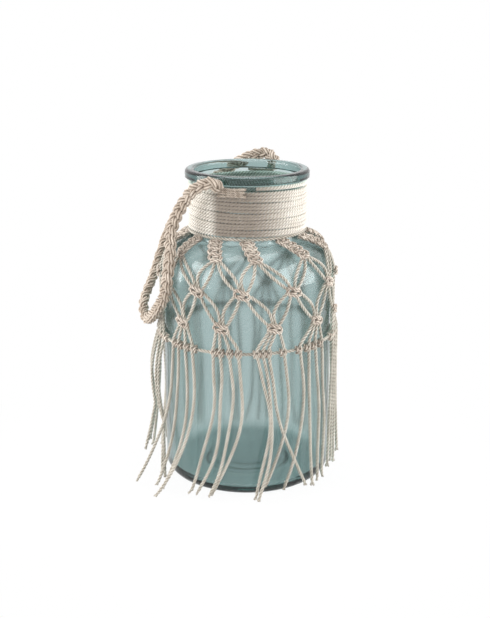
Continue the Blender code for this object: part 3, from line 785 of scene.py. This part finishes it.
COLUMN_SPLAY_SHARES = (0.7, 0.2, 0, 0, 0.05, 0.1, 0.05, 0.1, 0.05, 0.1, 0.3, 0.9)
STRAND_SPLAY_SHARES = (0.25, 0.55, 0.4, 1.0)
END_TAPER = 0.002
FRAY_LENGTH = 0.005
FRAY_RADIUS = 0.0009
FRAY_SPREAD = 0.00135
FRAY_PLIES = 4


def hitch(angle):
    """Two turns of a cord over the band, side by side."""
    turns = []
    for side in (-1, 1):
        at = angle + side * HITCH_STEP / band_ring
        loop = []
        for j in range(HITCH_POINTS + 1):
            t = math.radians(HITCH_WRAP_DEGREES) * (j / HITCH_POINTS - 0.5)
            out = max(band_ring + HITCH_REACH * math.cos(t), BODY_RADIUS + CORD_RADIUS)
            lean = side * HITCH_LEAN * math.sin(t)
            loop.append(around(at + lean, out, band_height + HITCH_REACH * math.sin(t)))
        turns.append(laid_cord(loop, CORD_RADIUS, CORD_LAY, finish=1))
    return turns


def hanging_cord(column, strand, angle):
    """A cord from its hitch down to its cut end, and the parted plies there."""
    sway = FRINGE_SWAY_SHARES[column][strand] * FRINGE_SWAY
    splay = FRINGE_SPLAY * COLUMN_SPLAY_SHARES[column] * STRAND_SPLAY_SHARES[strand]
    splay += FRINGE_LAYER * (strand % 2)
    foot_height = FRINGE_FOOT + FRINGE_SPREAD * ((5 * strand + 3 * column) % 7 / 7)
    if column in FRONT_FEET:
        foot_degrees, gap, foot_height = FRONT_FEET[column][strand]
        sway = (math.radians(foot_degrees) - math.remainder(angle, 2 * math.pi)) * BODY_RADIUS
        splay = gap - HITCH_LIFT
    drawn_bow = draw.uniform(-BACK_BOW_SHARE, BACK_BOW_SHARE)
    bow = FRONT_BOW_SHARES[column][strand] if column < len(FRONT_BOW_SHARES) else drawn_bow
    ripple = draw.uniform(-FRINGE_RIPPLE, FRINGE_RIPPLE)
    ripple_phase = draw.uniform(0, 6)
    top = BAND_DROP
    foot = SHOULDER_START + SHOULDER_LENGTH - foot_height - FRAY_LENGTH / 2
    bow_out = LEFT_BOW_OUT if column == COLUMNS - 1 else 0
    points = []
    for i in range(FRINGE_POINTS + 1):
        share = i / FRINGE_POINTS
        aside = sway * share**FRINGE_POWER + bow * FRINGE_BOW * math.sin(math.pi * share)
        aside += ripple * math.sin(9 * share + ripple_phase) * min(1, 4 * share)
        lift = HITCH_LIFT + splay * share**FRINGE_POWER
        lift += bow_out * math.sin(math.pi * min(1, 1.6 * share))
        lift = max(lift, CORD_RADIUS + FRINGE_LAYER / 2 * (strand % 2))
        points.append(on_glass(angle + aside / BODY_RADIUS, top + (foot - top) * share, lift)[0])
    cords = [laid_cord(points, CORD_RADIUS, CORD_LAY, taper=END_TAPER)]
    end, way = points[-1], (points[-1] - points[-2]).normalized()
    for _ in range(FRAY_PLIES):
        spread = Vector((draw.uniform(-1, 1), draw.uniform(-1, 1), draw.uniform(-0.2, 0.2)))
        spread *= FRAY_SPREAD
        start = end - way * FRAY_LENGTH / 2 + spread / 4
        bend = start + way * FRAY_LENGTH / 2 + spread / 3
        fray = smooth_route([start, bend, start + way * FRAY_LENGTH * 0.9 + spread], 4)
        cords.append(laid_cord(fray, FRAY_RADIUS, FRAY_LENGTH * 2, plies=2))
    return cords


for column in range(COLUMNS):
    angle, drop = lower_place(column)
    cords = net_knot(angle, drop)
    for strand in range(4):
        spread = HITCH_SPREAD_SHARES[column % len(HITCH_SPREAD_SHARES)][strand]
        foot = column_angle(column + spread, BAND_SHIFT_SHARES[column])
        start = strand_start(angle, drop, KNOT_WIDTH, strand)
        above = BAND_DROP - HITCH_REACH
        line = []
        for i in range(HITCH_POINTS + 1):
            share = i / HITCH_POINTS
            smooth = share * share * (3 - 2 * share)
            lift = CORD_LIFT + (HITCH_LIFT - CORD_LIFT) * share
            place = start + (foot - start) * smooth
            line.append(on_glass(place, drop + (above - drop) * share, lift)[0])
        cords.append(laid_cord(line, CORD_RADIUS, CORD_LAY))
        cords += hitch(foot)
        cords += hanging_cord(column, strand, foot)
    name = f"{column + 1:02d}"
    piece(f"fringe_{name}", cords, net_finishes, "vase", "natural_cotton", f"tassel_{name}")

# Rope ends: where the handle stops, its yarns are laid flat along the winding's top turns and cut.
# One end lies in front and one behind.
TAIL_YARNS = 4
TAIL_YARN_RADIUS = 0.0013
TAIL_YARN_PITCH = 0.0022
TAIL_OUT = 0.0021
TAIL_HEIGHT_MIDDLE = 0.2680
TAIL_TURN_DEGREES = 22
TAIL_LAP_DEGREES = 4
TAIL_RAGGED_DEGREES = 1.5
TAIL_BEND = 0.0006
TAIL_POINTS = 24
for end_name, turn_degrees in (("front", HANDLE_AXIS_DEGREES), ("back", HANDLE_AXIS_DEGREES + 180)):
    yarns = []
    for yarn in range(TAIL_YARNS):
        height = TAIL_HEIGHT_MIDDLE + (yarn - (TAIL_YARNS - 1) / 2) * TAIL_YARN_PITCH
        reach_degrees = TAIL_TURN_DEGREES - TAIL_RAGGED_DEGREES * ((2 * yarn) % 3) + TAIL_LAP_DEGREES
        line = []
        for i in range(TAIL_POINTS + 1):
            share = i / TAIL_POINTS
            turn = math.radians(turn_degrees - TAIL_LAP_DEGREES + reach_degrees * share)
            out = twine_ring + TWINE_RADIUS + TAIL_OUT - TAIL_BEND * share
            line.append(around(turn, out, height + TAIL_BEND * math.sin(3 * share + yarn)))
        yarns.append(laid_cord(line, TAIL_YARN_RADIUS, CORD_LAY))
    node = f"handle_tail_{end_name}"
    piece(f"rope_end_{end_name}", yarns, [rope_finish], "vase", "plaited_rope", node)

# Floor: a plain pale sweep of matt board that the jar stands on. It goes white away from the
# jar, and what the glass shows of it is darker close by.
FLOOR_SIZE = 60
FLOOR_GAP = 0.0004
FLOOR_COLOUR = (0.86, 0.86, 0.86, 1)
NEAR_GLOW_SHARE = 0.94
NEAR_RING = (0.08, 0.3)
GLASS_GLOW_SHARE = 0.42
GLASS_RING = (0.05, 0.21)
WHITE = (1, 1, 1, 1)
bpy.ops.object.select_all(action="DESELECT")
bpy.ops.mesh.primitive_plane_add(size=FLOOR_SIZE, location=(0, 0, -FLOOR_GAP))
floor = bpy.context.object
floor.name = "floor"
pale = Finish(bpy.data.materials.new("pale floor"))
pale.surface({"Base Color": FLOOR_COLOUR, "Roughness": 0.9, "Specular IOR Level": 0})
place = pale.add("ShaderNodeTexCoord", {}, {}).outputs["Object"]
length = pale.add("ShaderNodeVectorMath", {"operation": "LENGTH"}, {0: place})
away = Number(pale, length.outputs["Value"])
rays = pale.add("ShaderNodeLightPath", {}, {})
through = Number(pale, rays.outputs["Is Glossy Ray"]) + rays.outputs["Is Transmission Ray"]
through = Number(pale, pale.add("ShaderNodeClamp", {}, {"Value": through}).outputs[0])
glass_glow = pale.between(*GLASS_RING, away) * (1 - GLASS_GLOW_SHARE) + GLASS_GLOW_SHARE
whitened = through * glass_glow
near_glow = pale.between(*NEAR_RING, away) * (1 - NEAR_GLOW_SHARE) + NEAR_GLOW_SHARE
direct = (1 - through) * rays.outputs["Is Camera Ray"] * near_glow
glow = pale.add("ShaderNodeEmission", {}, {"Color": WHITE, "Strength": 1})
parts = {0: whitened + direct, 1: pale.nodes["Principled BSDF"].outputs[0], 2: glow.outputs[0]}
mixed = pale.add("ShaderNodeMixShader", {}, parts)
pale.tree.links.new(mixed.outputs[0], pale.nodes["Material Output"].inputs["Surface"])
floor.data.materials.append(pale.holder)

# Light: a soft box on each side, a weaker one overhead and one at the camera. A dim white sky
# fills the shadows, and the camera and the glass see it as white.
SKY_STRENGTH = 0.5
LAMP_AIM = (0, 0, 0.14)
LAMPS = (
    ("left box", (-0.95, -0.25, 0.42), 1.05, 15),
    ("right box", (0.95, -0.30, 0.42), 1.05, 13),
    ("top box", (0, 0.1, 1.25), 0.8, 5),
    ("front fill", (0.1, -1.5, 0.75), 0.8, 2.5),
)
for name, place, size, power in LAMPS:
    data = bpy.data.lights.new(name, "AREA")
    data.size = size
    data.energy = power
    lamp = bpy.data.objects.new(name, data)
    lamp.location = place
    lamp.rotation_euler = (Vector(LAMP_AIM) - Vector(place)).to_track_quat("-Z", "Y").to_euler()
    bpy.context.scene.collection.objects.link(lamp)
sky = Finish(bpy.data.worlds.new("sky"))
bpy.context.scene.world = sky.holder
rays = sky.add("ShaderNodeLightPath", {}, {})
seen = Number(sky, rays.outputs["Is Camera Ray"]) + rays.outputs["Is Glossy Ray"]
seen = seen + rays.outputs["Is Transmission Ray"]
seen = Number(sky, sky.add("ShaderNodeClamp", {}, {"Value": seen}).outputs[0])
background = sky.nodes["Background"]
sky.feed(background.inputs["Color"], WHITE)
sky.feed(background.inputs["Strength"], seen * (1 - SKY_STRENGTH) + SKY_STRENGTH)
bpy.context.scene.view_settings.view_transform = "Standard"
